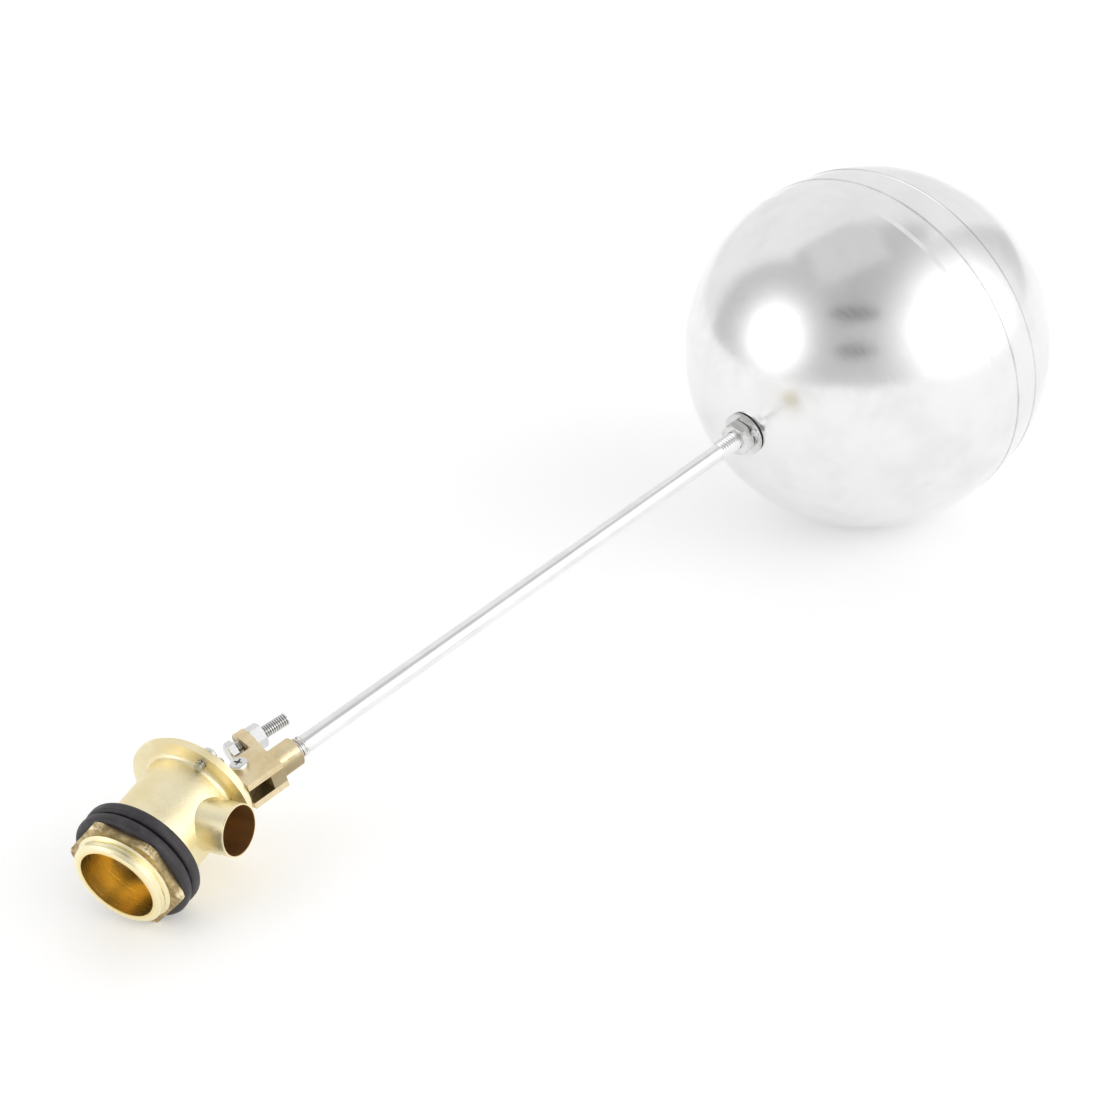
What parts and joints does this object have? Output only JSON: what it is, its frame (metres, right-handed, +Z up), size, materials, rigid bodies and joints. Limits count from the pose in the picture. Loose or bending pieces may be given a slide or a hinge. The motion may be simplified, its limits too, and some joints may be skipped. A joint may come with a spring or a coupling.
{
  "type": "float valve",
  "caption": "Brass float valve with threaded tank inlet, downward outlet spigot, fork lever, adjusting bolt, long stainless rod and hollow stainless ball float.",
  "frame": {"origin": "centre of the inlet mouth, on the body axis", "axes": "+X along the body axis from the inlet into the tank, +Z up as fitted, outlet pointing -Z, lever pivot along Y"},
  "size_m": [0.5133, 0.1794, 0.2798],
  "materials": {
    "cast_brass": "fine sand-cast skin, pale yellow",
    "tarnished_brass": "darkened brass with bright worn edges",
    "cover_brass": "turned brass",
    "lever_brass": "milled tan brass with fine saw marks",
    "black_rubber": "matt moulded rubber",
    "gasket_rubber": "smooth nitrile rubber",
    "bright_zinc": "bright zinc plate",
    "stainless_bar": "drawn bright stainless bar",
    "stainless_nut": "machined stainless",
    "weld_steel": "ground weld",
    "polished_steel": "buffed satin stainless sheet"
  },
  "bodies": {
    "body": {"valve_body": "cast_brass", "backnut": "tarnished_brass", "wall_washer_outer": "black_rubber", "wall_washer_inner": "black_rubber", "cover_gasket": "gasket_rubber", "cover": "cover_brass", "stem_o_ring": "gasket_rubber", "cover_screws": "bright_zinc"},
    "plunger": {"valve_stem": "stainless_bar", "disc_holder": "cover_brass", "valve_disc": "gasket_rubber", "disc_screw": "stainless_bar"},
    "arm": {"lever": "lever_brass", "pivot_screw": "bright_zinc", "pivot_nut": "bright_zinc", "adjusting_bolt": "bright_zinc", "adjusting_locknut": "bright_zinc", "float_rod": "stainless_bar", "rod_locknut": "stainless_nut", "float_boss": "stainless_nut", "float_test_plug": "weld_steel", "float_front_shell": "polished_steel", "float_rear_shell": "polished_steel", "float_weld": "weld_steel"}
  },
  "joints": [
    {"name": "lever_pivot", "type": "hinge", "parent": "body", "child": "arm", "pos_m": [0.06505, 0, -0.0166], "axis": [0, -1, 0], "range_deg": [0, 25.4]},
    {"name": "stem_slide", "type": "slide", "parent": "body", "child": "plunger", "axis": [-1, 0, 0], "range_m": [0, 0.0046]}
  ],
  "couplings": [
    {"joint": "stem_slide", "follows": "lever_pivot", "m_per_rad": 0.010376}
  ]
}
